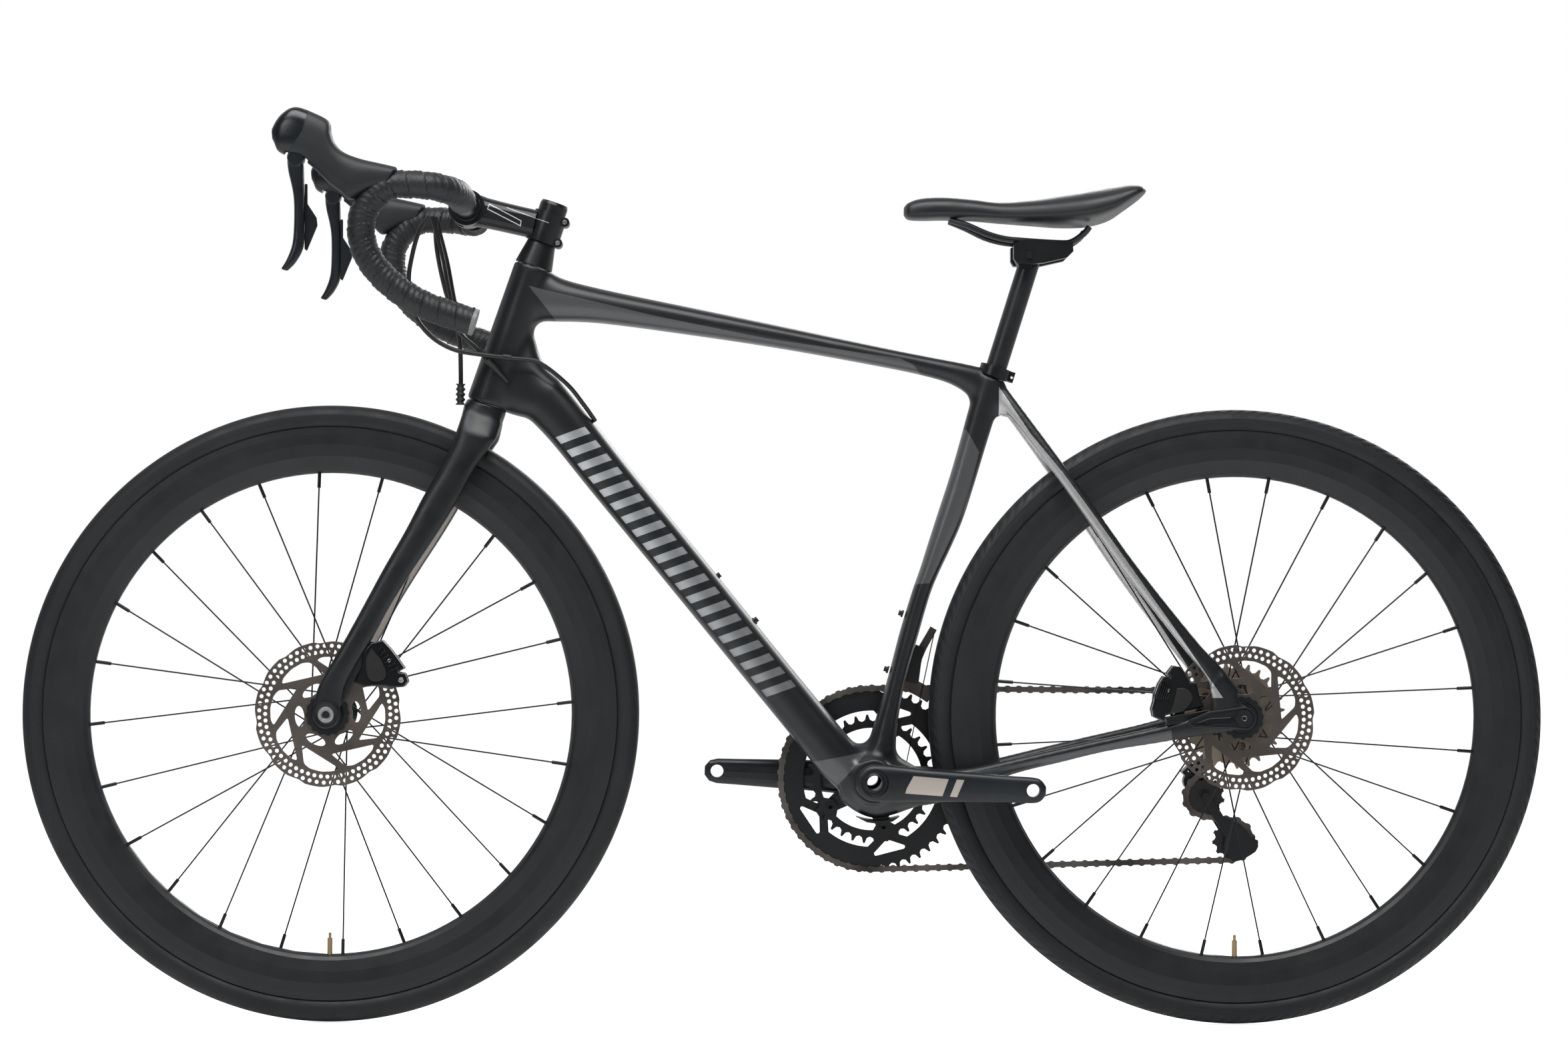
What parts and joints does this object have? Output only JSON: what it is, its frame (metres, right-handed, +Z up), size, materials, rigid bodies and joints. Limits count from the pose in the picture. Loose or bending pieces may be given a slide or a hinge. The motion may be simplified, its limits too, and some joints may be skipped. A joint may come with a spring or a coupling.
{
  "type": "road bicycle",
  "caption": "Road bicycle with disc brakes, deep rims, dropped handlebar, cable-worked derailleurs and a low saddle, without pedals.",
  "frame": {"origin": "on the ground midway between the axles, on the centre plane", "axes": "+X rearward from the front wheel to the rear wheel, +Y to the drive side, +Z up"},
  "size_m": [1.6798, 0.431, 0.9859],
  "materials": {
    "carbon_frame": "matte",
    "rubber": "matte",
    "carbon_rim": "matte",
    "steel": "brushed",
    "bearing_steel": "satin",
    "black_alloy": "satin",
    "grey_alloy": "satin",
    "silver_alloy": "satin",
    "tape": "ribbed",
    "saddle_skin": "satin",
    "plastic": "satin",
    "chain_steel": "satin",
    "cassette_steel": "satin",
    "brass": "satin",
    "light_plastic": "satin",
    "friction": "matte",
    "hose": "satin"
  },
  "bodies": {
    "frame": {"frame_shell": "carbon_frame", "frame_bearings": "bearing_steel", "seat_collar": "black_alloy", "rear_axle": "grey_alloy", "hanger_plate": "black_alloy", "rear_caliper": "black_alloy", "rear_pads": "friction", "frame_fittings": "black_alloy", "chain": "chain_steel", "rear_cables": "hose", "rd_body": "black_alloy"},
    "seat": {"seatpost": "carbon_frame", "saddle_clamp": "black_alloy", "saddle_rails": "grey_alloy", "saddle_base": "plastic", "saddle_cover": "saddle_skin"},
    "steering": {"fork": "carbon_frame", "front_axle": "silver_alloy", "steerer_spacers": "black_alloy", "stem": "black_alloy", "stem_faceplate": "black_alloy", "stem_bolts": "silver_alloy", "handlebar": "black_alloy", "bar_tape": "tape", "bar_plugs": "light_plastic", "lever_bodies": "rubber", "front_caliper": "black_alloy", "front_pads": "friction", "control_cables": "hose"},
    "front_wheel": {"front_tyre": "rubber", "front_rim": "carbon_rim", "front_spokes": "steel", "front_hub": "black_alloy", "front_bearings": "bearing_steel", "front_rotor": "steel", "front_valve": "brass"},
    "rear_wheel": {"rear_tyre": "rubber", "rear_rim": "carbon_rim", "rear_spokes": "steel", "rear_hub": "black_alloy", "rear_bearings": "bearing_steel", "rear_rotor": "steel", "rear_valve": "brass"},
    "crankset": {"crank_right": "grey_alloy", "crank_left": "grey_alloy", "chainrings": "black_alloy", "ring_bolts": "black_alloy"},
    "cassette_group": {"cassette": "cassette_steel", "freehub": "grey_alloy"},
    "guide_wheel": {"guide_pulley": "plastic"},
    "tension_wheel": {"tension_pulley": "plastic"},
    "lever_left": {"brake_lever_left": "grey_alloy"},
    "lever_right": {"brake_lever_right": "grey_alloy"},
    "paddle_left": {"shift_left": "black_alloy"},
    "paddle_right": {"shift_right": "black_alloy"},
    "link_outer": {"rd_link_outer": "black_alloy"},
    "link_inner": {"rd_link_inner": "black_alloy"},
    "lower_knuckle": {"rd_knuckle": "black_alloy"},
    "cage": {"rd_cage": "black_alloy"},
    "front_changer": {"fd_cage": "steel"}
  },
  "joints": [
    {"name": "steer", "type": "hinge", "parent": "frame", "child": "steering", "pos_m": [-0.4487, 0, 0.323], "axis": [0.314, 0, 0.9494], "range_deg": [-45, 45], "deforming": ["control_cables"]},
    {"name": "seat_height", "type": "slide", "parent": "frame", "child": "seat", "axis": [0.2974, 0, 0.9548], "range_m": [-0.05, 0.03], "stiffness_N_per_m": 4000},
    {"name": "front_spin", "type": "hinge", "parent": "steering", "child": "front_wheel", "pos_m": [-0.5, 0, 0.34], "axis": [0, -1, 0], "continuous": true},
    {"name": "rear_spin", "type": "hinge", "parent": "frame", "child": "rear_wheel", "pos_m": [0.5, 0, 0.34], "axis": [0, -1, 0], "continuous": true},
    {"name": "crank_spin", "type": "hinge", "parent": "frame", "child": "crankset", "pos_m": [0.0985, 0, 0.2675], "axis": [0, -1, 0], "continuous": true, "deforming": ["chain"]},
    {"name": "cassette_spin", "type": "hinge", "parent": "frame", "child": "cassette_group", "pos_m": [0.5, 0, 0.34], "axis": [0, -1, 0], "continuous": true},
    {"name": "lever_left_pull", "type": "hinge", "parent": "steering", "child": "lever_left", "pos_m": [-0.521, -0.199, 0.932], "axis": [0, -1, 0], "range_deg": [0, 15], "stiffness_Nm_per_rad": 0.6, "springref_deg": -20.05},
    {"name": "lever_right_pull", "type": "hinge", "parent": "steering", "child": "lever_right", "pos_m": [-0.521, 0.199, 0.932], "axis": [0, -1, 0], "range_deg": [0, 15], "stiffness_Nm_per_rad": 0.6, "springref_deg": -20.05},
    {"name": "shift_left_swing", "type": "hinge", "parent": "lever_left", "child": "paddle_left", "pos_m": [-0.5095, -0.1953, 0.903], "axis": [0, 0, 1], "range_deg": [0, 12], "stiffness_Nm_per_rad": 0.03, "springref_deg": -17.19},
    {"name": "shift_right_swing", "type": "hinge", "parent": "lever_right", "child": "paddle_right", "pos_m": [-0.5095, 0.1953, 0.903], "axis": [0, 0, -1], "range_deg": [0, 12], "stiffness_Nm_per_rad": 0.03, "springref_deg": -17.19},
    {"name": "rear_changer_swing", "type": "hinge", "parent": "frame", "child": "link_outer", "pos_m": [0.49853, 0.09, 0.30653], "axis": [-0.7071, 0, 0.7071], "range_deg": [-4, 34], "deforming": ["rear_cables"]},
    {"name": "inner_link_swing", "type": "hinge", "parent": "frame", "child": "link_inner", "pos_m": [0.49853, 0.078, 0.30653], "axis": [-0.7071, 0, 0.7071], "range_deg": [-4, 34]},
    {"name": "knuckle_level", "type": "hinge", "parent": "link_outer", "child": "lower_knuckle", "pos_m": [0.466, 0.09, 0.274], "axis": [-0.7071, 0, 0.7071], "range_deg": [-34, 4]},
    {"name": "cage_swing", "type": "hinge", "parent": "lower_knuckle", "child": "cage", "pos_m": [0.463, 0.059, 0.2645], "axis": [0, -1, 0], "range_deg": [-12, 25], "stiffness_Nm_per_rad": 1},
    {"name": "guide_spin", "type": "hinge", "parent": "cage", "child": "guide_wheel", "pos_m": [0.4745, 0.059, 0.248], "axis": [0, -1, 0], "continuous": true},
    {"name": "tension_spin", "type": "hinge", "parent": "cage", "child": "tension_wheel", "pos_m": [0.50437, 0.059, 0.19946], "axis": [0, -1, 0], "continuous": true},
    {"name": "front_changer_swing", "type": "hinge", "parent": "frame", "child": "front_changer", "pos_m": [0.14, 0.0335, 0.404], "axis": [1, 0, 0], "range_deg": [-1.5, 8], "stiffness_Nm_per_rad": 0.5}
  ],
  "couplings": [
    {"joint": "cassette_spin", "follows": "crank_spin", "ratio": 3.8462},
    {"joint": "guide_spin", "follows": "crank_spin", "ratio": -4.5455},
    {"joint": "tension_spin", "follows": "crank_spin", "ratio": 4.5455},
    {"joint": "inner_link_swing", "follows": "rear_changer_swing", "ratio": 1},
    {"joint": "knuckle_level", "follows": "rear_changer_swing", "ratio": -1}
  ]
}
